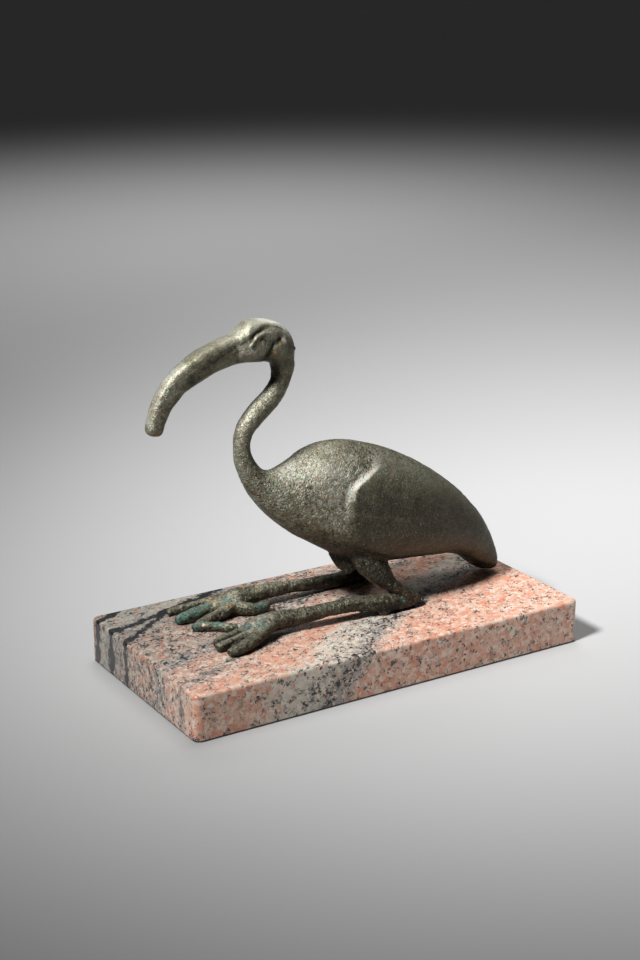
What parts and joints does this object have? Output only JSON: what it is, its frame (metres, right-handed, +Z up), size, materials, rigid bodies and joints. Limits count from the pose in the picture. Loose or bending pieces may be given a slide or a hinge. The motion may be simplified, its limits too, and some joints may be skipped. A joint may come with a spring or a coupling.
{
  "type": "bronze ibis figure",
  "caption": "Cast bronze ibis crouching on folded legs, long curved bill and S-shaped neck, resting on a rectangular polished stone slab.",
  "frame": {"origin": "centre of the slab's underside", "axes": "+Z up; +X from the bill towards the tail, along the slab's long side; +Y towards the bird's right side"},
  "size_m": [0.192, 0.096, 0.1532],
  "materials": {
    "bronze": "olive-brown patina, granular",
    "stone": "satin polished pink granite with dark veins"
  },
  "bodies": {
    "root": {"ibis": "bronze", "base": "stone"}
  },
  "joints": []
}
